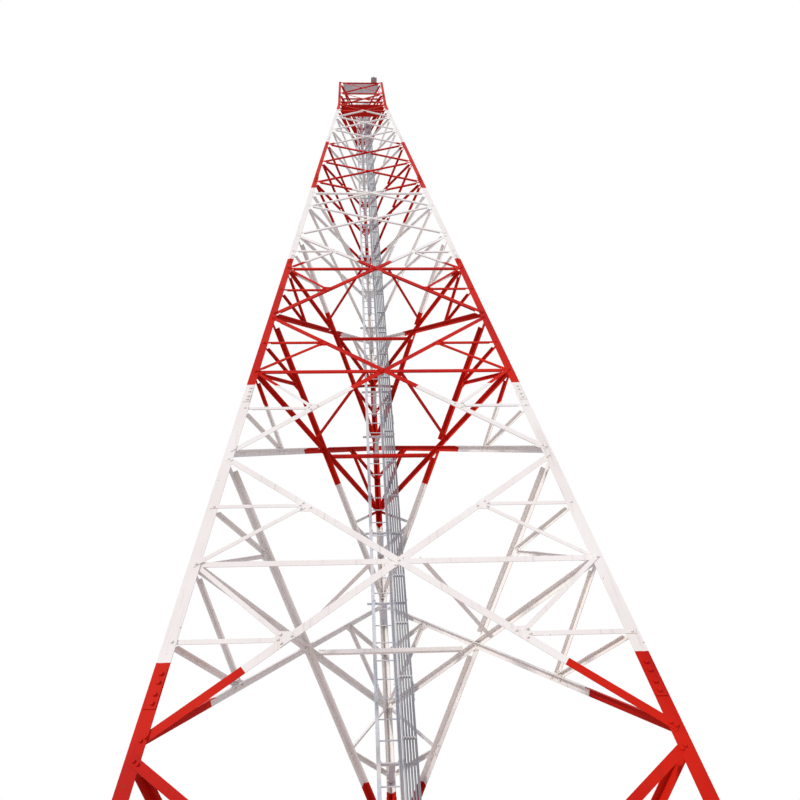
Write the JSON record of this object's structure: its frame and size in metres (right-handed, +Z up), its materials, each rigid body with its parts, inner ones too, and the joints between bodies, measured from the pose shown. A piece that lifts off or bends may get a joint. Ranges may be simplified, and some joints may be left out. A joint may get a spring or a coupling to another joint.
{
  "type": "radio mast",
  "caption": "Free-standing triangular steel lattice radio mast, tapering to a straight top, with banded paint, crossed angle bracing, climbing ladder, feeder rack and lamp.",
  "frame": {"origin": "centre of the underside of the back leg's base plate", "axes": "+Z up the mast, -Y from the back leg to the front face, +X to the right seen from the front"},
  "size_m": [6.2288, 5.4545, 34.4485],
  "materials": {
    "banded_paint": "weathered red and white bands",
    "galvanised_steel": "dull hot-dip galvanised",
    "cable_jacket": "faded grey jacket",
    "lamp_housing": "cast and weathered",
    "lamp_glass": "red ribbed glass"
  },
  "bodies": {
    "root": {"back_base_plate": "banded_paint", "back_leg": "banded_paint", "back_leg_splices": "banded_paint", "climbing_ladder": "galvanised_steel", "feeder_cables": "cable_jacket", "feeder_rack": "galvanised_steel", "front_bracing_lower": "banded_paint", "front_bracing_middle": "banded_paint", "front_bracing_upper": "banded_paint", "front_left_base_plate": "banded_paint", "front_left_leg": "banded_paint", "front_left_leg_splices": "banded_paint", "front_right_base_plate": "banded_paint", "front_right_leg": "banded_paint", "front_right_leg_splices": "banded_paint", "ladder_brackets": "galvanised_steel", "lamp_body": "lamp_housing", "lamp_dome": "lamp_glass", "left_bracing_lower": "banded_paint", "left_bracing_middle": "banded_paint", "left_bracing_upper": "banded_paint", "plan_bracing_1": "banded_paint", "plan_bracing_2": "banded_paint", "plan_bracing_3": "banded_paint", "plan_bracing_4": "banded_paint", "rest_platform": "banded_paint", "right_bracing_lower": "banded_paint", "right_bracing_middle": "banded_paint", "right_bracing_upper": "banded_paint", "top_platform": "galvanised_steel"}
  },
  "joints": []
}
